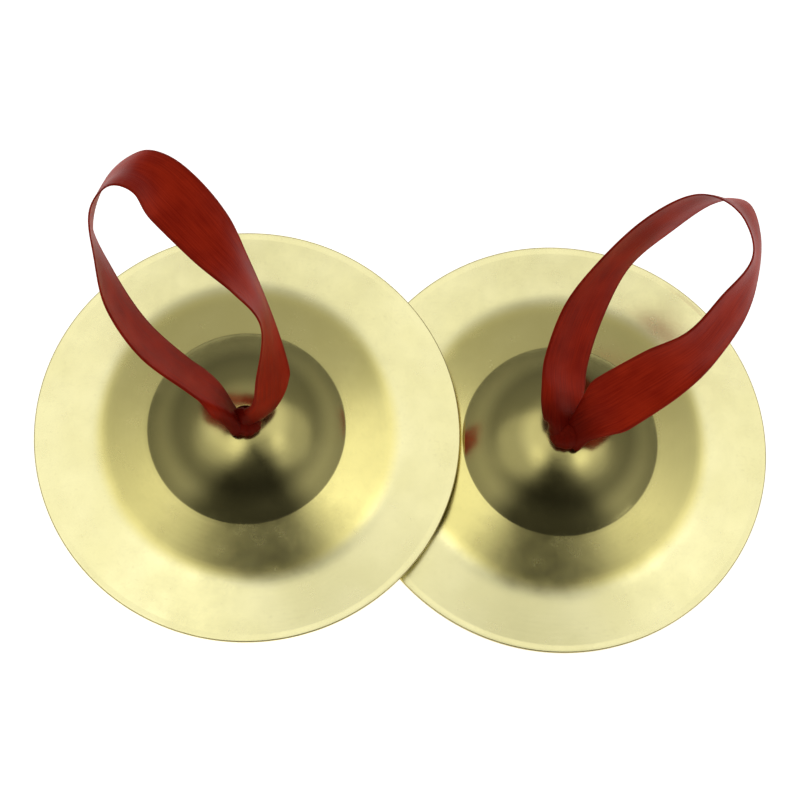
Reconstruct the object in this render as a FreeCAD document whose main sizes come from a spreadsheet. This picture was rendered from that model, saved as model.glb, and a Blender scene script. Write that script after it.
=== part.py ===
import FreeCAD, Part
import math
import os
import Sketcher

# A pair of finger cymbals: two thin dished brass plates with a domed bell and a centre hole.
# A satin ribbon runs down through each hole, is knotted inside the bell and stands above it as
# a finger loop. The right cymbal lies flat; the left one leans its rim on the right one's bow.
# Frame: millimetres, +Z up, floor at Z = 0, +X from the left cymbal to the right one, origin
# under the middle of the whole pair.

Vector = FreeCAD.Vector
Rotation = FreeCAD.Rotation
Placement = FreeCAD.Placement

# alias, value, what it is (heights are above the rim plane of the cymbal)
SIZES = [
    ("plate_radius", 45.0, "outer radius of a cymbal"),
    ("plate_thickness", 0.8, "sheet thickness"),
    ("land_width", 1.5, "flat ring along the rim"),
    ("bow_break_radius", 31.8, "where the steep inner bow meets the flat outer bow"),
    ("bow_break_height", 1.65, "top of the bow at that break"),
    ("bell_radius", 20.8, "foot of the bell"),
    ("bell_foot_height", 4.9, "top of the bow at the foot of the bell"),
    ("bell_sphere_radius", 37.0, "the bell is a cap of a sphere this large"),
    ("hole_radius", 3.0, "centre hole"),
    ("crease_fillet", 1.0, "rounding of the crease at the bell foot"),
    ("break_fillet", 24.0, "rounding of the bow break"),
    ("rim_fillet", 0.25, "rounding of the outer edge"),
    ("pair_spacing", 66.3, "distance between the centres"),
    ("lean_angle", 3.2, "tilt of the left cymbal in degrees"),
    ("ribbon_width", 12.7, "half inch satin ribbon"),
    ("ribbon_gathered", 5.6, "width of the ribbon where it is gathered into the hole"),
    ("ribbon_gather_length", 11.0, "length over which it is gathered"),
    ("ribbon_thickness", 0.5, "thickness of the band"),
    ("neck_radius", 2.95, "gathered ribbon inside the hole"),
    ("neck_rise", 0.3, "how far the neck stands out of the hole"),
    ("gather_radius", 2.7, "round gather above the hole, where the loop tips"),
    ("gather_rise", 3.0, "its centre above the top of the bell"),
    ("gather_offset", 2.4, "its centre in front of the hole axis"),
    ("stem_radius", 1.4, "ribbon between the hole and the gather"),
    ("knot_radius", 4.8, "half the knot's width"),
    ("knot_half_height", 2.8, "half the knot's height"),
    ("knot_drop", 4.1, "knot centre below the top of the bell"),
    ("tail_width", 9.0, "folded width of the two cut ends"),
]

# Ribbon loops: x, y, z of the centre line in the cymbal's own frame, then the heading (from +X
# towards +Y) and the dip below the horizontal, in degrees, of the line across the ribbon.
LEFT_LOOP = [
    (-1.0, 1.0, 15.5, 88, 38),
    (-11.5, 6.0, 22.0, 92, 40),
    (-20.5, 11.5, 29.0, 86, 36),
    (-27.0, 19.0, 38.0, 86, 34),
    (-30.0, 26.5, 47.5, 98, 36),
    (-28.5, 32.5, 55.5, 76, 38),
    (-24.0, 35.5, 61.0, 70, 38),
    (-19.0, 35.0, 62.0, 72, 24),
    (-13.5, 31.5, 57.0, 50, -2),
    (-7.0, 26.5, 50.5, 56, 8),
    (-0.5, 20.5, 44.0, 76, 32),
    (4.0, 15.0, 37.0, 88, 40),
    (5.5, 6.5, 27.0, 56, 36),
    (4.0, -2.5, 15.5, 34, 28),
]
RIGHT_LOOP = [
    (-1.0, 1.0, 14.5, -2, 32),
    (0.0, 14.0, 15.5, -2, 40),
    (3.5, 24.5, 19.0, 0, 44),
    (9.5, 33.5, 24.5, 14, 52),
    (17.5, 39.5, 31.5, 10, 52),
    (25.5, 43.0, 38.0, 18, 52),
    (31.5, 41.5, 42.0, 22, 50),
    (35.0, 35.5, 43.0, 16, 64),
    (35.5, 27.5, 42.5, 18, 72),
    (31.5, 19.5, 40.0, -6, 56),
    (25.5, 12.0, 36.0, -16, 48),
    (18.0, 7.5, 30.5, -40, 28),
    (9.5, 4.0, 24.0, -52, 14),
    (1.5, 0.0, 16.5, -68, -4),
]

# The cut ends below the knot, same columns: one lies to the back of the bell, one to the front.
BACK_TAIL = [(0.3, 2.6, 5.4, 0, 0), (0.6, 6.5, 4.9, 4, 3), (0.9, 10.5, 3.9, 8, 6), (1.2, 14.0, 2.9, 10, 9)]
FRONT_TAIL = [(-0.3, -2.6, 5.4, 0, 0), (-0.8, -6.5, 5.0, 6, -4), (-1.6, -10.0, 4.2, 12, -8), (-2.6, -13.0, 3.4, 16, -12)]

doc = FreeCAD.newDocument("finger_cymbals")
sheet = doc.addObject("Spreadsheet::Sheet", "Sizes")
for row, (alias, value, note) in enumerate(SIZES, 1):
    sheet.set("A%d" % row, note)
    sheet.set("B%d" % row, str(value))
    sheet.setAlias("B%d" % row, alias)
doc.recompute()


def size(alias):
    """A driving dimension as a plain number."""
    return float(sheet.get(alias))


bell_centre = size("bell_foot_height") - math.sqrt(size("bell_sphere_radius") ** 2 - size("bell_radius") ** 2)
bell_top = bell_centre + size("bell_sphere_radius")
gather_centre = Vector(0, -size("gather_offset"), bell_top + size("gather_rise"))

# The right cymbal is flat on the floor. The left one turns about Y so that its far rim touches
# the floor and its near rim is above the right one's bow.
lean = math.radians(size("lean_angle"))
half_spacing = size("pair_spacing") / 2
right_place = Placement(Vector(half_spacing, 0, 0), Rotation())
left_place = Placement(
    Vector(-half_spacing, 0, size("plate_radius") * math.sin(lean)),
    Rotation(Vector(0, 1, 0), -size("lean_angle")),
)


def add_cymbal(name, place):
    """Revolve the section of the plate about the cymbal's own Z axis."""
    body = doc.addObject("PartDesign::Body", name)
    body.Label = name
    sketch = body.newObject("Sketcher::SketchObject", name + "_section")
    plane = [item for item in body.Origin.OriginFeatures if item.Role == "XZ_Plane"][0]
    sketch.AttachmentSupport = [(plane, "")]
    sketch.MapMode = "FlatFace"

    thick = size("plate_thickness")
    outer = size("plate_radius")
    land = outer - size("land_width")
    break_r, break_z = size("bow_break_radius"), size("bow_break_height")
    foot_r, foot_z = size("bell_radius"), size("bell_foot_height")
    hole = size("hole_radius")
    centre = Vector(0, bell_centre, 0)

    def on_sphere(radius, x):
        return Vector(x, bell_centre + math.sqrt(radius ** 2 - x ** 2), 0)

    sphere = size("bell_sphere_radius")
    inner_foot = Vector(math.sqrt((sphere - thick) ** 2 - (foot_z - thick - bell_centre) ** 2), foot_z - thick, 0)
    top_start = on_sphere(sphere, hole)
    low_start = on_sphere(sphere - thick, hole)
    top = [Vector(foot_r, foot_z, 0), Vector(break_r, break_z, 0), Vector(land, thick, 0), Vector(outer, thick, 0)]
    low = [Vector(outer, 0, 0), Vector(land, 0, 0), Vector(break_r, break_z - thick, 0), inner_foot]

    def arc(start, end, radius):
        angle_end = math.atan2(start.y - bell_centre, start.x)
        angle_start = math.atan2(end.y - bell_centre, end.x)
        return Part.ArcOfCircle(Part.Circle(centre, Vector(0, 0, 1), radius), angle_start, angle_end)

    top_arc = sketch.addGeometry(arc(top_start, top[0], sphere))
    rim = top + low
    lines = [sketch.addGeometry(Part.LineSegment(a, b)) for a, b in zip(rim, rim[1:])]
    low_arc = sketch.addGeometry(arc(low_start, inner_foot, sphere - thick))
    wall = sketch.addGeometry(Part.LineSegment(low_start, top_start))

    # closed chain: an arc runs from its foot (point 1) up to the hole (point 2), a line from 1 to 2
    sketch.addConstraint(Sketcher.Constraint("Coincident", top_arc, 1, lines[0], 1))
    for before, after in zip(lines, lines[1:]):
        sketch.addConstraint(Sketcher.Constraint("Coincident", before, 2, after, 1))
    sketch.addConstraint(Sketcher.Constraint("Coincident", lines[-1], 2, low_arc, 1))
    sketch.addConstraint(Sketcher.Constraint("Coincident", low_arc, 2, wall, 1))
    sketch.addConstraint(Sketcher.Constraint("Coincident", wall, 2, top_arc, 2))
    sketch.addConstraint(Sketcher.Constraint("Coincident", low_arc, 3, top_arc, 3))
    sketch.addConstraint(Sketcher.Constraint("PointOnObject", top_arc, 3, -2))
    sketch.addConstraint(Sketcher.Constraint("Vertical", wall))

    def bind(kind, geometry, point, value, expression):
        if kind == "Radius":
            index = sketch.addConstraint(Sketcher.Constraint("Radius", geometry, value))
        else:
            index = sketch.addConstraint(Sketcher.Constraint(kind, -1, 1, geometry, point, value))
        sketch.setExpression("Constraints[%d]" % index, expression)

    bind("Radius", top_arc, 0, sphere, "Sizes.bell_sphere_radius")
    bind("Radius", low_arc, 0, sphere - thick, "Sizes.bell_sphere_radius - Sizes.plate_thickness")
    bind("DistanceX", wall, 2, hole, "Sizes.hole_radius")
    bind("DistanceX", lines[0], 1, foot_r, "Sizes.bell_radius")
    bind("DistanceY", lines[0], 1, foot_z, "Sizes.bell_foot_height")
    bind("DistanceY", lines[-1], 2, foot_z - thick, "Sizes.bell_foot_height - Sizes.plate_thickness")
    bind("DistanceX", lines[0], 2, break_r, "Sizes.bow_break_radius")
    bind("DistanceY", lines[0], 2, break_z, "Sizes.bow_break_height")
    bind("DistanceX", lines[1], 2, land, "Sizes.plate_radius - Sizes.land_width")
    bind("DistanceY", lines[1], 2, thick, "Sizes.plate_thickness")
    bind("DistanceX", lines[2], 2, outer, "Sizes.plate_radius")
    bind("DistanceY", lines[2], 2, thick, "Sizes.plate_thickness")
    sketch.addConstraint(Sketcher.Constraint("Vertical", lines[3]))
    sketch.addConstraint(Sketcher.Constraint("PointOnObject", lines[3], 2, -1))
    sketch.addConstraint(Sketcher.Constraint("PointOnObject", lines[4], 2, -1))
    bind("DistanceX", lines[4], 2, land, "Sizes.plate_radius - Sizes.land_width")
    bind("DistanceX", lines[5], 2, break_r, "Sizes.bow_break_radius")
    bind("DistanceY", lines[5], 2, break_z - thick, "Sizes.bow_break_height - Sizes.plate_thickness")

    plate = body.newObject("PartDesign::Revolution", name + "_plate")
    plate.Profile = sketch
    plate.ReferenceAxis = (sketch, ["V_Axis"])
    plate.Angle = 360
    body.Tip = plate
    doc.recompute()

    last = plate
    for label, alias, radii in (
        ("crease", "crease_fillet", (foot_r, inner_foot.x)),
        ("break", "break_fillet", (break_r,)),
        ("rim", "rim_fillet", (outer,)),
    ):
        edges = []
        for number, edge in enumerate(last.Shape.Edges, 1):
            if isinstance(edge.Curve, Part.Circle) and abs(edge.Curve.Axis.z) > 0.9:
                if any(abs(edge.Curve.Radius - radius) < 0.01 for radius in radii):
                    edges.append("Edge%d" % number)
        fillet = body.newObject("PartDesign::Fillet", "%s_%s" % (name, label))
        fillet.Base = (last, edges)
        fillet.setExpression("Radius", "Sizes." + alias)
        body.Tip = fillet
        doc.recompute()
        last = fillet
    body.Placement = place
    return body


def follow(rows, at):
    """Catmull-Rom value of a list of rows at a position counted in rows."""
    first = min(int(at), len(rows) - 2)
    u = at - first
    b, c = rows[first], rows[first + 1]
    a = rows[first - 1] if first > 0 else [2 * p - q for p, q in zip(b, c)]
    d = rows[first + 2] if first + 2 < len(rows) else [2 * q - p for p, q in zip(b, c)]
    return [
        0.5 * (2 * q + (r - p) * u + (2 * p - 5 * q + 4 * r - s) * u ** 2 + (3 * q - p - 3 * r + s) * u ** 3)
        for p, q, r, s in zip(a, b, c, d)
    ]


def band(rows, full_width, end_width, gather_length, thickness, steps):
    """A thin closed band lofted through rectangles set square to its centre line."""
    places = [i / steps for i in range((len(rows) - 1) * steps + 1)]
    values = [follow(rows, at) for at in places]
    centres = [Vector(*value[:3]) for value in values]
    along = [0.0]
    for before, after in zip(centres, centres[1:]):
        along.append(along[-1] + (after - before).Length)
    wires = []
    for i, value in enumerate(values):
        heading, dip = math.radians(value[3]), math.radians(value[4])
        across = Vector(math.cos(heading) * math.cos(dip), math.sin(heading) * math.cos(dip), -math.sin(dip))
        run = (centres[min(i + 1, len(centres) - 1)] - centres[max(i - 1, 0)]).normalize()
        through = run.cross(across).normalize()
        near_end = min(1.0, min(along[i], along[-1] - along[i]) / gather_length)
        width = end_width + (full_width - end_width) * near_end ** 2 * (3 - 2 * near_end)
        half_w = across * (width / 2)
        half_t = through * (thickness / 2)
        corners = [half_w + half_t, half_t - half_w, -half_w - half_t, half_w - half_t]
        wires.append(Part.makePolygon([centres[i] + corner for corner in corners + corners[:1]]))
    return Part.makeLoft(wires, True, False)


def add_band(name, rows, place, full_width, end_width):
    """A ribbon piece with its shape worked out from the rows and the sheet."""
    feature = doc.addObject("Part::Feature", name)
    feature.Label = name
    gather_length = size("ribbon_gather_length")
    feature.Shape = band(rows, full_width, end_width, gather_length, size("ribbon_thickness"), 2)
    feature.Placement = place
    return feature


def add_knot(name, place):
    """Knot inside the bell, the gathered neck in the hole and the round gather above it."""
    knot = doc.addObject("Part::Ellipsoid", name + "_ball")
    knot.setExpression("Radius1", "Sizes.knot_half_height")
    knot.setExpression("Radius2", "Sizes.knot_radius")
    knot.setExpression("Radius3", "Sizes.knot_radius")
    knot_z = bell_top - size("knot_drop")
    knot.Placement = Placement(Vector(0, 0, knot_z), Rotation())

    neck = doc.addObject("Part::Cylinder", name + "_neck")
    neck.setExpression("Radius", "Sizes.neck_radius")
    neck.setExpression("Height", "Sizes.knot_drop + Sizes.neck_rise")
    neck.Placement = Placement(Vector(0, 0, knot_z), Rotation())

    gather = doc.addObject("Part::Sphere", name + "_gather")
    gather.setExpression("Radius", "Sizes.gather_radius")
    gather.Placement = Placement(gather_centre, Rotation())

    stem = doc.addObject("Part::Cylinder", name + "_stem")
    stem.setExpression("Radius", "Sizes.stem_radius")
    stem.setExpression("Height", "sqrt(Sizes.gather_rise ^ 2 + Sizes.gather_offset ^ 2)")
    top_of_bell = Vector(0, 0, bell_top)
    stem.Placement = Placement(top_of_bell, Rotation(Vector(0, 0, 1), gather_centre - top_of_bell))

    fuse = doc.addObject("Part::MultiFuse", name)
    fuse.Label = name
    fuse.Shapes = [knot, neck, gather, stem]
    fuse.Refine = True
    fuse.Placement = place
    return fuse


nodes = []
for side, place, loop in (("left", left_place, LEFT_LOOP), ("right", right_place, RIGHT_LOOP)):
    full, gathered = size("ribbon_width"), size("ribbon_gathered")
    tail = size("tail_width")
    nodes.append(add_cymbal("cymbal_" + side, place))
    nodes.append(add_band("ribbon_loop_" + side, loop, place, full, gathered))
    nodes.append(add_knot("ribbon_knot_" + side, place))
    nodes.append(add_band("ribbon_back_tail_" + side, BACK_TAIL, place, tail, tail))
    nodes.append(add_band("ribbon_front_tail_" + side, FRONT_TAIL, place, tail, tail))
doc.recompute()

for item in doc.Objects:
    if "Invalid" in item.State or "Error" in item.State:
        raise RuntimeError("%s did not compute" % item.Name)
for node in nodes:
    if node.Shape.isNull() or not node.Shape.isValid() or len(node.Shape.Solids) != 1:
        raise RuntimeError("%s has no single valid solid" % node.Label)

os.makedirs("parts", exist_ok=True)
for node in nodes:
    node.Shape.exportStep("parts/%s.step" % node.Label)
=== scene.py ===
import math
from itertools import accumulate

import bmesh
import bpy
from mathutils import Matrix, Vector, noise


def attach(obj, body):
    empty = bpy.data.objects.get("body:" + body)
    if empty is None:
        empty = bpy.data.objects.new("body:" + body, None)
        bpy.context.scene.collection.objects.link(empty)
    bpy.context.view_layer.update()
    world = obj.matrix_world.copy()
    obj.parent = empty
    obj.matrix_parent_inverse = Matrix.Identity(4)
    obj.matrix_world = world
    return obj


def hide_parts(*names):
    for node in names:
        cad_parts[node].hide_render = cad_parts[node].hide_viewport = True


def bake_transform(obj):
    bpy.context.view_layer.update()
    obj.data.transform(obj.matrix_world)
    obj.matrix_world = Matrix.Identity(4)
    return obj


# A pair of brass finger cymbals with satin ribbon loops. Lengths in the tables are millimetres in
# the frame of their own cymbal (origin under its centre, Z along its axis) and MM makes them metres.
# Node trees work in metres.
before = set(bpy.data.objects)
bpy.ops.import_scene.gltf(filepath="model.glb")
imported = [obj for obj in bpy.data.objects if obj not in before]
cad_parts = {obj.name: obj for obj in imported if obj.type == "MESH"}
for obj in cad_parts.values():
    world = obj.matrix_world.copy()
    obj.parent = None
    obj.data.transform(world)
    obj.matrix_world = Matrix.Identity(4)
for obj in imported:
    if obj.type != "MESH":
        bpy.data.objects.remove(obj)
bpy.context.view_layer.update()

MM = 0.001

# Cymbals
PAIR_SPACING = 66.3
LEAN_ANGLE = math.radians(3.2)

PLATE_RADIUS = 45.0
PLATE_THICKNESS = 0.8
LAND_WIDTH = 1.5
BREAK_RADIUS, BREAK_HEIGHT = 31.8, 1.65
FOOT_RADIUS, FOOT_HEIGHT = 20.8, 4.9
BELL_SPHERE = 37.0
HOLE_RADIUS = 3.0
BELL_CENTRE = FOOT_HEIGHT - math.sqrt(BELL_SPHERE ** 2 - FOOT_RADIUS ** 2)
BELL_TOP = BELL_CENTRE + BELL_SPHERE

# Ribbons
RIBBON_WIDTH = 12.7
RIBBON_THICKNESS = 0.28
OPEN_WIDTH = RIBBON_WIDTH - 0.03
GATHERED_WIDTH = 5.8
GATHER_LENGTH = 13.0

# x, y, z of the centre line, then heading and dip in degrees of the line across the ribbon. The
# first and the last row of each loop lie inside the gather above the hole.
LOOPS = {
    "left": [
        (0.2, -1.3, 12.6, 88, 36),
        (-2.3, 0.6, 16.2, 88, 38),
        (-5.6, 2.8, 19.2, 89, 39),
        (-11.5, 6.0, 22.0, 92, 40),
        (-20.5, 11.5, 29.0, 86, 36),
        (-27.0, 19.0, 38.0, 86, 34),
        (-30.0, 26.5, 47.5, 98, 36),
        (-28.5, 32.5, 55.5, 76, 38),
        (-24.0, 35.5, 61.0, 70, 38),
        (-19.0, 35.0, 62.0, 72, 24),
        (-13.5, 31.5, 57.0, 50, -2),
        (-7.0, 26.5, 50.5, 56, 8),
        (-0.5, 20.5, 44.0, 76, 32),
        (4.0, 15.0, 37.0, 88, 40),
        (5.6, 6.0, 27.5, 56, 36),
        (5.7, 2.0, 21.5, 45, 32),
        (4.3, -0.6, 17.4, 34, 28),
        (2.2, -1.4, 15.2, 30, 26),
        (0.4, -1.6, 12.8, 30, 26),
    ],
    "right": [
        (-0.1, -2.3, 13.4, -2, 30),
        (-0.6, 0.6, 16.2, -2, 32),
        (-0.5, 6.5, 16.4, -2, 36),
        (0.0, 14.0, 15.5, -2, 40),
        (3.5, 24.5, 19.0, 0, 44),
        (9.5, 33.5, 24.5, 14, 52),
        (17.5, 39.5, 31.5, 10, 52),
        (25.5, 43.0, 38.0, 18, 52),
        (31.5, 41.5, 42.0, 22, 50),
        (35.0, 35.5, 43.0, 16, 64),
        (35.5, 27.5, 42.5, 18, 72),
        (31.5, 19.5, 40.0, -6, 56),
        (25.5, 12.0, 36.0, -16, 48),
        (18.0, 7.5, 30.5, -40, 28),
        (9.5, 3.2, 24.4, -52, 14),
        (5.0, 1.2, 19.6, -60, 6),
        (2.0, -0.6, 16.4, -68, -4),
        (0.2, -2.0, 13.4, -70, -6),
    ],
}
TAILS = {
    "back_tail": [
        (0.3, 2.6, 5.4, 0, 0),
        (0.6, 6.5, 4.9, 4, 3),
        (0.9, 10.5, 3.9, 8, 6),
        (1.2, 14.0, 2.9, 10, 9),
    ],
    "front_tail": [
        (-0.3, -2.6, 5.4, 0, 0),
        (-0.8, -6.5, 5.0, 6, -4),
        (-1.6, -10.0, 4.2, 12, -8),
        (-2.6, -13.0, 3.4, 16, -12),
    ],
}
TAIL_WIDTH = 9.0
TAIL_NECK = 5.0
TAIL_OPENING = 5.0
# Share of its width that the ribbon has lost where it counts as wholly gathered and its painted shade is
# full.
FULL_GATHER = 0.54

# The gathered ribbon from the knot up through the hole: x, y, z, half width along X, half depth
# along Y.
BUNDLE = [
    (0.0, 0.0, 6.6, 1.9, 1.9),
    (0.0, 0.0, 8.6, 2.5, 2.5),
    (0.0, 0.0, 10.4, 2.75, 2.7),
    (0.0, -0.8, 11.6, 3.0, 2.7),
    (0.1, -1.5, 12.8, 3.3, 2.6),
    (0.15, -1.6, 13.9, 3.1, 2.5),
    (0.15, -1.5, 14.9, 2.6, 2.1),
    (0.15, -1.2, 15.7, 1.7, 1.4),
    (0.15, -1.1, 16.0, 0.6, 0.5),
]

half_spacing = PAIR_SPACING / 2 * MM
PLACES = {
    "right": Matrix.Translation((half_spacing, 0, 0)),
    "left": Matrix.Translation((-half_spacing, 0, PLATE_RADIUS * MM * math.sin(LEAN_ANGLE)))
    @ Matrix.Rotation(-LEAN_ANGLE, 4, "Y"),
}


# ---------------------------------------------------------------- node helpers

class Nodes:
    """Short ways to build a node tree."""

    def __init__(self, tree):
        self.tree = tree

    def add(self, kind, **values):
        node = self.tree.nodes.new(kind)
        for key, value in values.items():
            setattr(node, key, value)
        return node

    def link(self, output, socket):
        self.tree.links.new(output, socket)

    def feed(self, socket, value):
        if isinstance(value, (int, float, tuple)):
            socket.default_value = value
        else:
            self.link(value, socket)

    def math(self, operation, a, b=0.0, clamp=False):
        node = self.add("ShaderNodeMath", operation=operation, use_clamp=clamp)
        self.feed(node.inputs[0], a)
        self.feed(node.inputs[1], b)
        return node.outputs[0]

    def reach(self, a, b):
        """Length of a flat vector."""
        return self.math("SQRT", self.math("ADD", self.math("POWER", a, 2.0), self.math("POWER", b, 2.0)))

    def ramp(self, value, low, high, out_low=0.0, out_high=1.0):
        """Smooth step of value from out_low at low to out_high at high."""
        node = self.add("ShaderNodeMapRange", interpolation_type="SMOOTHSTEP")
        self.feed(node.inputs["Value"], value)
        node.inputs["From Min"].default_value = low
        node.inputs["From Max"].default_value = high
        node.inputs["To Min"].default_value = out_low
        node.inputs["To Max"].default_value = out_high
        return node.outputs["Result"]

    def mix(self, share, a, b, blend="MIX"):
        node = self.add("ShaderNodeMix", data_type="RGBA", blend_type=blend)
        self.feed(node.inputs["Factor"], share)
        self.feed(node.inputs[6], a)
        self.feed(node.inputs[7], b)
        return node.outputs[2]

    def noise(self, vector, scale, detail=2.0, roughness=0.5):
        node = self.add("ShaderNodeTexNoise")
        self.link(vector, node.inputs["Vector"])
        node.inputs["Scale"].default_value = scale
        node.inputs["Detail"].default_value = detail
        node.inputs["Roughness"].default_value = roughness
        return node.outputs["Fac"]

    def bump(self, height, distance, strength=1.0, normal=None):
        node = self.add("ShaderNodeBump")
        self.link(height, node.inputs["Height"])
        node.inputs["Distance"].default_value = distance
        node.inputs["Strength"].default_value = strength
        if normal is not None:
            self.link(normal, node.inputs["Normal"])
        return node.outputs["Normal"]


def new_material(name):
    material = bpy.data.materials.new(name)
    material.use_nodes = True
    return material, Nodes(material.node_tree), material.node_tree.nodes["Principled BSDF"]


# ---------------------------------------------------------------- materials

def brass_material():
    """Satin pressed brass: pale gold, fine grain, faint turning rings, darker worn rim.

    The bell is toned down by its distance from the axis, most of all half way up its side. That
    evens out how brightly this bell reflects the dome, and isn't a stain on the metal.
    """
    material, make, shader = new_material("satin_brass")
    place = make.add("ShaderNodeTexCoord").outputs["Object"]
    parts = make.add("ShaderNodeSeparateXYZ")
    make.link(place, parts.inputs[0])
    radius = make.reach(parts.outputs["X"], parts.outputs["Y"])

    cloud = make.noise(place, 55.0, 3.0)
    tone = make.mix(make.ramp(cloud, 0.35, 0.65), (0.83, 0.785, 0.42, 1), (0.88, 0.835, 0.47, 1))
    # Painted light: the outer zone keeps a paler tone, standing in for the whitish sheen of the bright light
    # it reflects, and inside about 33 mm the tone is tinted deeper yellow.
    inner = make.ramp(radius, 0.033, 0.030)
    tone = make.mix(inner, tone, make.mix(1.0, tone, (1.0, 0.955, 0.68, 1), "MULTIPLY"))
    bell = make.ramp(radius, 0.0212, 0.0204)
    crown = make.ramp(radius, 0.0105, 0.0065)
    foot = make.ramp(radius, 0.0140, 0.0185)
    lift = make.math("ADD", make.math("MULTIPLY", crown, 0.22), make.math("MULTIPLY", foot, 0.45))
    shade = make.math("ADD", 0.36, lift)
    shaded = make.add("ShaderNodeVectorMath", operation="SCALE")
    make.link(tone, shaded.inputs[0])
    make.link(shade, shaded.inputs["Scale"])
    tone = make.mix(bell, tone, shaded.outputs[0])
    near_rim = make.ramp(radius, 0.04472, 0.04496)
    near_hole = make.ramp(radius, 0.0042, 0.0031)
    worn = make.math("MAXIMUM", near_rim, near_hole)
    tone = make.mix(make.math("MULTIPLY", worn, 0.6), tone, (0.50, 0.36, 0.11, 1))
    specks = make.ramp(make.noise(place, 1500.0, 2.0, 0.5), 0.55, 0.8)
    tone = make.mix(make.math("MULTIPLY", specks, 0.08), tone, (0.42, 0.33, 0.12, 1))
    make.link(tone, shader.inputs["Base Color"])
    shader.inputs["Metallic"].default_value = 1.0

    grain = make.noise(place, 2600.0, 3.0, 0.6)
    smears = make.noise(place, 160.0, 4.0, 0.6)
    rough = make.math("ADD", make.ramp(smears, 0.3, 0.7, 0.19, 0.25), make.math("MULTIPLY", grain, 0.05))
    rough = make.math("SUBTRACT", rough, make.math("MULTIPLY", bell, 0.06))
    make.link(make.math("ADD", rough, make.math("MULTIPLY", worn, 0.12)), shader.inputs["Roughness"])

    ring_spacing = 0.0011
    rings = make.math("SINE", make.math("MULTIPLY", radius, 2 * math.pi / ring_spacing))
    dimples = make.noise(place, 420.0, 2.0)
    normal = make.bump(rings, 0.000002, 0.12)
    normal = make.bump(dimples, 0.00002, 0.12, normal)
    normal = make.bump(grain, 0.000004, 0.25, normal)
    make.link(normal, shader.inputs["Normal"])
    return material


def ribbon_material():
    """Red satin: fine warp threads, cross ribs, darker woven selvedges, painted shade where gathered.

    The cloth attribute holds millimetres across and along the ribbon, then the strength of the
    painted shade, which grows with how far the ribbon is gathered.
    """
    material, make, shader = new_material("red_satin")
    weave = make.add("ShaderNodeAttribute", attribute_name="cloth").outputs["Vector"]
    parts = make.add("ShaderNodeSeparateXYZ")
    make.link(weave, parts.inputs[0])
    across, along, gathered = (parts.outputs[axis] for axis in "XYZ")

    edge = make.math("ABSOLUTE", across)
    half = RIBBON_WIDTH / 2
    selvedge = make.ramp(edge, half - 0.9, half - 0.35)
    stretched = make.add("ShaderNodeVectorMath", operation="MULTIPLY")
    make.link(weave, stretched.inputs[0])
    stretched.inputs[1].default_value = (3.2, 0.12, 1.0)
    streaks = make.noise(stretched.outputs[0], 1.0, 3.0)
    cloud = make.noise(weave, 0.11, 2.0)
    deep, bright = (0.29, 0.0115, 0.0036, 1), (0.48, 0.027, 0.0075, 1)
    share = make.math("ADD", make.math("MULTIPLY", streaks, 0.5), make.math("MULTIPLY", cloud, 0.6))
    tone = make.mix(make.ramp(share, 0.35, 0.75), deep, bright)
    tone = make.mix(make.math("MULTIPLY", selvedge, 0.35), tone, (0.13, 0.006, 0.003, 1))
    # Painted shade: the red is darkened where the ribbon is gathered at the hole, standing in for shade in
    # the gather, not dirt.
    gather_painted_shade = make.mix(1.0, tone, (0.26, 0.16, 0.22, 1), "MULTIPLY")
    tone = make.mix(make.math("MULTIPLY", gathered, 0.85), tone, gather_painted_shade)
    make.link(tone, shader.inputs["Base Color"])

    thread_spacing, rib_spacing = 0.24, 0.42
    threads = make.math("SINE", make.math("MULTIPLY", across, 2 * math.pi / thread_spacing))
    ribs = make.math("SINE", make.math("MULTIPLY", along, 2 * math.pi / rib_spacing))
    rough = make.ramp(streaks, 0.3, 0.7, 0.40, 0.50)
    make.link(make.math("ADD", rough, make.math("MULTIPLY", selvedge, 0.12)), shader.inputs["Roughness"])
    normal = make.bump(threads, 0.000012, 0.5)
    normal = make.bump(ribs, 0.000010, 0.35, normal)
    normal = make.bump(streaks, 0.00006, 0.5, normal)
    make.link(normal, shader.inputs["Normal"])
    shader.inputs["Specular IOR Level"].default_value = 0.12
    shader.inputs["Specular Tint"].default_value = (1.0, 0.35, 0.22, 1)
    shader.inputs["Sheen Weight"].default_value = 0.05
    shader.inputs["Sheen Roughness"].default_value = 0.35
    shader.inputs["Sheen Tint"].default_value = (1.0, 0.22, 0.12, 1)
    return material


# ---------------------------------------------------------------- cymbals

def rounded(points, radii, steps=6):
    """The outline with each corner that has a radius replaced by an arc tangent to its sides."""
    outline = []
    for i, point in enumerate(points):
        radius = radii.get(i)
        if radius is None:
            outline.append(point)
            continue
        back = (points[i - 1] - point).normalized()
        ahead = (points[(i + 1) % len(points)] - point).normalized()
        half = back.angle(ahead) / 2
        reach = radius / math.tan(half)
        centre = point + (back + ahead).normalized() * (radius / math.sin(half))
        start, end = point + back * reach - centre, point + ahead * reach - centre
        sweep = math.atan2(start.x * end.y - start.y * end.x, start.dot(end))
        for step in range(steps + 1):
            turn = Matrix.Rotation(sweep * step / steps, 2)
            outline.append(centre + turn @ start)
    return outline


def bell_arc(radius, start, end, count=44):
    """Points of the bell's arc between two distances from the axis."""
    spots = [start + (end - start) * i / count for i in range(count + 1)]
    return [Vector((x, BELL_CENTRE + math.sqrt(radius ** 2 - x ** 2))) for x in spots]


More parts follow.
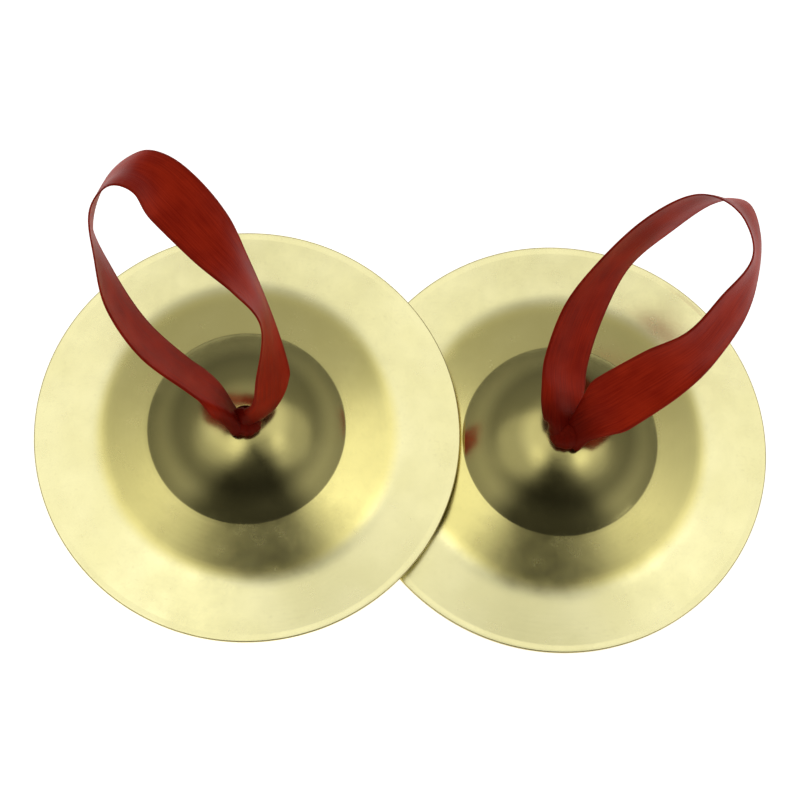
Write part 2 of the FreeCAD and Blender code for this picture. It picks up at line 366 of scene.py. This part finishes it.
def plate_section():
    """Closed outline of the plate: out along the top, round the rim and back underneath."""
    inner_sphere = BELL_SPHERE - PLATE_THICKNESS
    inner_foot = math.sqrt(inner_sphere ** 2 - (FOOT_HEIGHT - PLATE_THICKNESS - BELL_CENTRE) ** 2)
    land = PLATE_RADIUS - LAND_WIDTH
    top = bell_arc(BELL_SPHERE, HOLE_RADIUS, FOOT_RADIUS)
    low = bell_arc(inner_sphere, inner_foot, HOLE_RADIUS)
    middle = [
        Vector((BREAK_RADIUS, BREAK_HEIGHT)),
        Vector((land, PLATE_THICKNESS)),
        Vector((PLATE_RADIUS, PLATE_THICKNESS)),
        Vector((PLATE_RADIUS, 0)),
        Vector((land, 0)),
        Vector((BREAK_RADIUS, BREAK_HEIGHT - PLATE_THICKNESS)),
    ]
    first = len(top)
    radii = {0: 0.15, first - 1: 1.0, first: 24.0, first + 1: 5.0, first + 2: 0.25, first + 3: 0.25}
    radii.update({first + 5: 24.0, first + 6: 1.0, len(top + middle + low) - 1: 0.15})
    outline = rounded(top + middle + low, radii)
    longest = 0.9
    fine = []
    for point, after in zip(outline, outline[1:] + outline[:1]):
        count = max(1, math.ceil((after - point).length / longest))
        fine += [point.lerp(after, i / count) for i in range(count)]
    return fine


def add_cymbal(side, material):
    """Turned plate with the slight waves that pressing leaves."""
    section = plate_section()
    turns = 288
    mesh = bmesh.new()
    wave_height = 0.022
    wave_scale = 1 / 17.0
    seed = Vector((0, 0, 3.7 if side == "left" else 8.1))
    rings = []
    for i in range(turns):
        angle = 2 * math.pi * i / turns
        ring = []
        for point in section:
            x, y = point.x * math.cos(angle), point.x * math.sin(angle)
            wave = wave_height * noise.noise(Vector((x, y, 0)) * wave_scale + seed)
            ring.append(mesh.verts.new(Vector((x, y, max(0.0, point.y + wave))) * MM))
        rings.append(ring)
    for here, there in zip(rings, rings[1:] + rings[:1]):
        for i in range(len(section)):
            j = (i + 1) % len(section)
            mesh.faces.new((here[i], here[j], there[j], there[i]))
    bmesh.ops.recalc_face_normals(mesh, faces=mesh.faces)
    plate = finish_mesh(mesh, "brass_plate_" + side, material)
    plate.matrix_world = PLACES[side]
    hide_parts("cymbal_" + side)
    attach(plate, side + "_cymbal")
    return plate


def finish_mesh(mesh, name, material):
    """Turns a bmesh into a smooth shaded object."""
    data = bpy.data.meshes.new(name)
    mesh.to_mesh(data)
    mesh.free()
    data.materials.append(material)
    data.shade_smooth()
    piece = bpy.data.objects.new(name, data)
    bpy.context.scene.collection.objects.link(piece)
    return piece


# ---------------------------------------------------------------- ribbon

def follow(rows, at):
    """Catmull-Rom value of a list of rows at a position counted in rows."""
    first = min(int(at), len(rows) - 2)
    u = at - first
    b, c = rows[first], rows[first + 1]
    a = rows[first - 1] if first > 0 else [2 * p - q for p, q in zip(b, c)]
    d = rows[first + 2] if first + 2 < len(rows) else [2 * q - p for p, q in zip(b, c)]
    return [
        0.5 * (2 * q + (r - p) * u + (2 * p - 5 * q + 4 * r - s) * u ** 2 + (3 * q - p - 3 * r + s) * u ** 3)
        for p, q, r, s in zip(a, b, c, d)
    ]


def smooth_step(value):
    """Smooth rise from 0 at 0 to 1 at 1."""
    value = min(1.0, max(0.0, value))
    return value * value * (3 - 2 * value)


def even_rows(rows, spacing):
    """Rows at even distances along the centre line, each with its distance in front."""
    steps = 24
    fine = [follow(rows, i / steps) for i in range((len(rows) - 1) * steps + 1)]
    gaps = [(Vector(b[:3]) - Vector(a[:3])).length for a, b in zip(fine, fine[1:])]
    along = [0.0] + list(accumulate(gaps))
    count = round(along[-1] / spacing)
    result, k = [], 0
    for i in range(count + 1):
        target = along[-1] * i / count
        while k < len(gaps) - 1 and along[k + 1] < target:
            k += 1
        share = (target - along[k]) / gaps[k]
        result.append([target] + [p + (q - p) * share for p, q in zip(fine[k], fine[k + 1])])
    return result


def roll_reach(turn):
    """How far an edge rolled through this angle stands out, in radii of the roll."""
    return math.sin(turn) if turn < math.pi / 2 else 1.0


def rolled_width(angle, radius, skew):
    """Width seen of a ribbon whose two edges are rolled under through about this angle."""
    width = RIBBON_WIDTH
    for turn in (angle * (1 + skew), angle * (1 - skew)):
        width += radius * (roll_reach(turn) - turn)
    return width


def rolled_section(width, skew, count):
    """Points across a ribbon that is narrowed to this width, as (across, depth of the roll)."""
    radius = 0.9 + 0.08 * (RIBBON_WIDTH - width)
    low, high = 0.0, 4.2
    for _ in range(24):
        angle = (low + high) / 2
        if rolled_width(angle, radius, skew) > width:
            low = angle
        else:
            high = angle
    turns = (angle * (1 + skew), angle * (1 - skew))
    starts = [RIBBON_WIDTH / 2 - radius * turn for turn in turns]
    reach = [start + radius * roll_reach(turn) for start, turn in zip(starts, turns)]
    shift = (reach[0] - reach[1]) / 2
    points = []
    for i in range(count + 1):
        spot = RIBBON_WIDTH * (i / count - 0.5)
        side, start = (-1, starts[0]) if spot < 0 else (1, starts[1])
        past = max(0.0, abs(spot) - start) / radius
        across = min(abs(spot), start) + radius * math.sin(past)
        points.append(Vector((side * across + shift, radius * (1 - math.cos(past)))))
    return points


def strip_sections(rows, width_at, skews, swell):
    """Sections of a strip: distance, points across and the share of its width lost by rolling.

    The edges roll to one side in the first half and to the other in the last, so that on a loop
    they always turn inwards.
    """
    columns = 36
    stations = even_rows(rows, 0.6)
    total = stations[-1][0]
    centres = [Vector(row[1:4]) for row in stations]
    sections = []
    for i, row in enumerate(stations):
        heading, dip = math.radians(row[4]), math.radians(row[5])
        level = math.cos(dip)
        across = Vector((math.cos(heading) * level, math.sin(heading) * level, -math.sin(dip)))
        run = (centres[min(i + 1, len(centres) - 1)] - centres[max(i - 1, 0)]).normalized()
        out = run.cross(across).normalized()
        share = row[0] / total
        skew = skews[0] + (skews[1] - skews[0]) * smooth_step(share)
        width = width_at(row[0], total)
        section = rolled_section(width, skew, columns)
        side = 1 - 2 * smooth_step((share - 0.35) / 0.3)
        gathered = (RIBBON_WIDTH - width) / RIBBON_WIDTH
        points = []
        for k, point in enumerate(section):
            at = 2 * k / columns - 1
            wave = swell * math.sin(math.pi * (1.3 * at + 3.0 * share)) * (0.3 + gathered)
            crown = 1.1 * gathered * at * at
            points.append(centres[i] + across * point.x + out * (side * (point.y + crown) + wave))
        sections.append((row[0], points, gathered))
    return sections


def add_strip(name, rows, place, width_at, skews, swell, material, cut_slant=0.0):
    """A closed thin strip of ribbon whose cloth keeps its width where its edges roll under."""
    sections = strip_sections(rows, width_at, skews, swell)
    columns = len(sections[0][1])
    mesh = bmesh.new()
    cloth = mesh.verts.layers.float_vector.new("cloth")
    grid_top, grid_low = [], []
    for i, (distance, points, gathered) in enumerate(sections):
        top, low = [], []
        before = sections[max(i - 1, 0)][1]
        after = sections[min(i + 1, len(sections) - 1)][1]
        for j, point in enumerate(points):
            side = points[min(j + 1, columns - 1)] - points[max(j - 1, 0)]
            run = after[j] - before[j]
            out = run.cross(side).normalized()
            across = RIBBON_WIDTH * (j / (columns - 1) - 0.5)
            edge = RIBBON_WIDTH / 2 - abs(across)
            bead = 1 + 0.35 * math.exp(-((edge - 0.25) / 0.3) ** 2)
            half = RIBBON_THICKNESS / 2 * bead * (0.55 if j in (0, columns - 1) else 1.0)
            slip = run.normalized() * (cut_slant * across if i == len(sections) - 1 else 0.0)
            for row, sign in ((top, 1), (low, -1)):
                vert = mesh.verts.new(place @ ((point + slip + out * half * sign) * MM))
                # The third value of cloth is the strength of the ribbon's painted shade.
                vert[cloth] = Vector((across, distance, smooth_step(gathered / FULL_GATHER)))
                row.append(vert)
        grid_top.append(top)
        grid_low.append(low)
    last = columns - 1
    for i in range(len(sections) - 1):
        for j in range(last):
            mesh.faces.new((grid_top[i][j], grid_top[i + 1][j], grid_top[i + 1][j + 1], grid_top[i][j + 1]))
            mesh.faces.new((grid_low[i][j], grid_low[i][j + 1], grid_low[i + 1][j + 1], grid_low[i + 1][j]))
        for j in (0, last):
            mesh.faces.new((grid_top[i][j], grid_low[i][j], grid_low[i + 1][j], grid_top[i + 1][j]))
    for i in (0, len(sections) - 1):
        for j in range(last):
            mesh.faces.new((grid_top[i][j], grid_top[i][j + 1], grid_low[i][j + 1], grid_low[i][j]))
    bmesh.ops.recalc_face_normals(mesh, faces=mesh.faces)
    piece = finish_mesh(mesh, name, material)
    return piece, sections[-1][0] * MM


def loop_width(distance, total):
    """Width seen of a loop: narrow at both ends, past the stretch hidden in the bundle."""
    hidden = 1.5
    near_end = min(distance, total - distance) - hidden
    return GATHERED_WIDTH + (OPEN_WIDTH - GATHERED_WIDTH) * smooth_step(near_end / GATHER_LENGTH)


def tail_width(distance, total):
    """Width seen of a tail: narrow at the knot only."""
    return TAIL_WIDTH - (TAIL_WIDTH - TAIL_NECK) * (1 - smooth_step(distance / TAIL_OPENING))


def skin(mesh, cloth, place, rings, closed):
    """Faces along a row of rings, whose ends meet in a closed row and are capped in an open one."""
    loops = []
    for ring in rings:
        loop = []
        for point, weave in ring:
            vert = mesh.verts.new(place @ (point * MM))
            vert[cloth] = weave
            loop.append(vert)
        loops.append(loop)
    following = loops[1:] + loops[:1] if closed else loops[1:]
    for here, there in zip(loops, following):
        for i in range(len(here)):
            j = (i + 1) % len(here)
            mesh.faces.new((here[i], here[j], there[j], there[i]))
    if not closed:
        for loop in (loops[0], loops[-1]):
            mesh.faces.new(loop)


def bundle_rings():
    """The ribbon pressed into the hole, with shallow pleats that fade in above the knot."""
    around, pleats, between = 96, 7, 8
    rings = []
    rows = [follow(BUNDLE, i / between) for i in range((len(BUNDLE) - 1) * between + 1)]
    for k, (x, y, z, half_x, half_y) in enumerate(rows):
        ring = []
        for i in range(around):
            angle = 2 * math.pi * i / around
            fold = 0.022 * math.sin(pleats * angle + 0.35 * z) + 0.012 * math.sin(11 * angle - 0.5 * z)
            reach = 1 + fold * min(1.0, k / between)
            point = Vector((x + half_x * reach * math.cos(angle), y + half_y * reach * math.sin(angle), z))
            # The third value 1 gives the bundle the ribbon's full painted shade.
            ring.append((point, Vector((2.0 * math.sin(3 * angle), z, 1))))
        rings.append(ring)
    return rings


def wound_rings(tilt, heading, reach, thick, drop):
    """One turn of ribbon wound round the bundle, tilted and a little creased."""
    knot_z = BELL_TOP - 4.1
    along, around = 120, 28
    turned = Matrix.Rotation(heading, 3, "Z") @ Matrix.Rotation(tilt, 3, "X")
    rings = []
    for i in range(along):
        angle = 2 * math.pi * i / along
        middle = Vector((reach * math.cos(angle), reach * math.sin(angle), 0))
        outward = middle.normalized()
        ring = []
        for j in range(around):
            turn = 2 * math.pi * j / around
            crease = 1 + 0.10 * math.sin(3 * turn + 2 * angle) + 0.05 * math.sin(5 * angle + turn)
            upward = Vector((0, 0, thick * 1.05 * crease * math.sin(turn)))
            offset = outward * (thick * crease * math.cos(turn)) + upward
            point = turned @ (middle + offset) + Vector((0, 0, knot_z + drop))
            # The third value 0.6 gives the wound turns part of the ribbon's painted shade.
            ring.append((point, Vector((5 * math.sin(turn), reach * angle, 0.6))))
        rings.append(ring)
    return rings


def add_knot(side, place, material):
    """Pleated ribbon in the hole with two crossing turns wound round it, in one mesh."""
    mesh = bmesh.new()
    cloth = mesh.verts.layers.float_vector.new("cloth")
    skin(mesh, cloth, place, bundle_rings(), closed=False)
    # Tilt, heading, radius and thickness of each turn, and its height from the knot's middle.
    for turn in ((0.30, 0.4, 3.35, 1.25, 0.7), (-0.34, 1.9, 3.1, 1.3, -0.8)):
        skin(mesh, cloth, place, wound_rings(*turn), closed=True)
    bmesh.ops.recalc_face_normals(mesh, faces=mesh.faces)
    knot = finish_mesh(mesh, "wrapped_knot_" + side, material)
    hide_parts("ribbon_knot_" + side)
    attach(knot, side + "_ribbon")
    return knot


def add_ribbon(side, material):
    """Knot, two tails and the finger loop of one cymbal."""
    place = PLACES[side]
    knot = add_knot(side, place, material)
    for tail, skews, slant in (("back_tail", (0.1, 0.5), 0.45), ("front_tail", (-0.1, -0.4), -0.4)):
        piece, length = add_strip(
            "%s_%s" % (tail, side), TAILS[tail], place, tail_width, skews, 0.5, material, slant
        )
        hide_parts("ribbon_%s_%s" % (tail, side))
        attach(piece, side + "_ribbon")
    skews = {"left": (0.15, -0.2), "right": (-0.2, 0.25)}[side]
    loop, length = add_strip("finger_loop_" + side, LOOPS[side], place, loop_width, skews, 0.45, material)
    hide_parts("ribbon_loop_" + side)
    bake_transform(loop)
    return loop


# ---------------------------------------------------------------- studio

def add_floor():
    """Pale round floor that rises to a low rim far outside the view."""
    mesh = bmesh.new()
    # A hair under the rims, so that no two faces lie in one plane.
    below = -0.00005
    outline = [(0.4, below), (1.0, below), (2.4, below), (2.8, 0.02), (3.1, 0.07), (3.3, 0.14), (3.4, 0.22)]
    turns = 96
    rings = []
    for reach, height in outline:
        angles = [2 * math.pi * i / turns for i in range(turns)]
        rings.append([mesh.verts.new((reach * math.cos(a), reach * math.sin(a), height)) for a in angles])
    mesh.faces.new(rings[0])
    for here, there in zip(rings, rings[1:]):
        for i in range(turns):
            j = (i + 1) % turns
            mesh.faces.new((here[i], there[i], there[j], here[j]))
    material, make, shader = new_material("pale_floor")
    place = make.add("ShaderNodeTexCoord").outputs["Object"]
    paper = make.noise(place, 400.0, 3.0)
    make.link(make.mix(paper, (0.86, 0.86, 0.86, 1), (0.90, 0.90, 0.90, 1)), shader.inputs["Base Color"])
    shader.inputs["Roughness"].default_value = 0.9
    shader.inputs["Specular IOR Level"].default_value = 0.2
    distance = make.add("ShaderNodeVectorMath", operation="LENGTH")
    make.link(place, distance.inputs[0])
    glow = make.ramp(distance.outputs["Value"], 0.5, 2.6, FLOOR_GLOW, 0.1)
    make.link(glow, shader.inputs["Emission Strength"])
    shader.inputs["Emission Color"].default_value = (1, 1, 1, 1)
    floor = finish_mesh(mesh, "floor", material)


def add_dome():
    """Soft studio dome: a wide light overhead with a gap and two panels, dim sides, dark front."""
    world = bpy.data.worlds.new("studio")
    bpy.context.scene.world = world
    world.use_nodes = True
    make = Nodes(world.node_tree)
    background = world.node_tree.nodes["Background"]
    direction = make.add("ShaderNodeSeparateXYZ")
    make.link(make.add("ShaderNodeTexCoord").outputs["Generated"], direction.inputs[0])
    x, y, z = (direction.outputs[axis] for axis in "XYZ")
    up = make.math("MAXIMUM", z, 0.02)
    east, north = make.math("DIVIDE", x, up), make.math("DIVIDE", y, up)

    wide = make.math("ABSOLUTE", make.math("DIVIDE", east, 0.78))
    deep = make.math("ABSOLUTE", make.math("DIVIDE", make.math("SUBTRACT", north, 0.17), 0.45))
    powers = make.math("ADD", make.math("POWER", wide, 3.0), make.math("POWER", deep, 3.0))
    overhead = make.ramp(make.math("POWER", powers, 1 / 3), 1.15, 0.85)
    south = make.math("MAXIMUM", make.math("MULTIPLY", north, -1.0), 0.0)
    spread = make.math("ADD", 1.0, make.math("MULTIPLY", south, 2.5))
    gap_width = make.math("DIVIDE", make.math("ABSOLUTE", make.math("SUBTRACT", east, 0.07)), spread)
    gap = make.math("MULTIPLY", make.ramp(gap_width, 0.22, 0.09), make.ramp(north, 0.20, 0.0))
    key = overhead
    for panel_east, panel_north in ((-0.16, -0.02), (0.31, 0.0)):
        away = make.reach(make.math("SUBTRACT", east, panel_east), make.math("SUBTRACT", north, panel_north))
        key = make.math("ADD", key, make.ramp(away, 0.20, 0.04, 0.0, PANEL_LEVEL))
    key = make.math("MULTIPLY", key, make.math("SUBTRACT", 1.0, gap))

    level = make.reach(x, y)
    southness = make.math("DIVIDE", make.math("MULTIPLY", y, -1.0), make.math("MAXIMUM", level, 0.02))
    front = make.ramp(southness, 0.45, 0.85)
    height = make.ramp(z, 0.1, 0.85, SIDE_LOW, SIDE_HIGH)
    sides = make.math("MULTIPLY", height, make.math("SUBTRACT", 1.0, make.math("MULTIPLY", front, 0.9)))
    total = make.math("ADD", sides, make.math("MULTIPLY", key, KEY_LEVEL))
    make.link(total, background.inputs["Strength"])
    background.inputs["Color"].default_value = (1.0, 0.985, 0.95, 1)


def add_lamp(name, azimuth, zenith_angle, distance, size, power):
    """A softbox aimed at the pair; azimuth runs anticlockwise from +X."""
    data = bpy.data.lights.new(name, "AREA")
    data.shape = "RECTANGLE"
    data.size, data.size_y = size
    data.energy = power
    lamp = bpy.data.objects.new(name, data)
    turn, slope = math.radians(azimuth), math.radians(zenith_angle)
    back = Vector((math.cos(turn) * math.sin(slope), math.sin(turn) * math.sin(slope), math.cos(slope)))
    lamp.location = back * distance
    lamp.rotation_mode = "QUATERNION"
    lamp.rotation_quaternion = back.to_track_quat("Z", "Y")
    bpy.context.scene.collection.objects.link(lamp)


def add_camera():
    """Camera above and a little to the left, turned so that the pair lies level."""
    azimuth, elevation, roll = math.radians(-13.1), math.radians(72.7), math.radians(14.3)
    target = Vector((-0.67, 9.4, 0)) * MM
    distance = 0.650
    field_of_view = math.radians(15.0)
    data = bpy.data.cameras.new("camera")
    data.sensor_width = 36
    data.lens = data.sensor_width / 2 / math.tan(field_of_view / 2)
    camera = bpy.data.objects.new("camera", data)
    back = Vector((
        math.sin(azimuth) * math.cos(elevation),
        -math.cos(azimuth) * math.cos(elevation),
        math.sin(elevation),
    ))
    right = Vector((math.cos(azimuth), math.sin(azimuth), 0))
    up = back.cross(right)
    camera_x = math.cos(roll) * right + math.sin(roll) * up
    camera_y = math.cos(roll) * up - math.sin(roll) * right
    turn = Matrix((camera_x, camera_y, back)).transposed()
    camera.matrix_world = Matrix.Translation(target + back * distance) @ turn.to_4x4()
    bpy.context.scene.collection.objects.link(camera)
    bpy.context.scene.camera = camera


KEY_LEVEL = 0.70
SIDE_LOW, SIDE_HIGH = 0.14, 0.44
PANEL_LEVEL = 1.0
FLOOR_GLOW = 0.78

add_camera()
bpy.context.scene.view_settings.view_transform = "Standard"
add_floor()
add_dome()
add_lamp("front_left_softbox", 240, 70, 1.1, (0.50, 0.14), 0.5)
add_lamp("front_right_softbox", 320, 70, 1.1, (0.50, 0.14), 0.5)

brass = brass_material()
satin = ribbon_material()
for side in ("left", "right"):
    add_cymbal(side, brass)
    add_ribbon(side, satin)
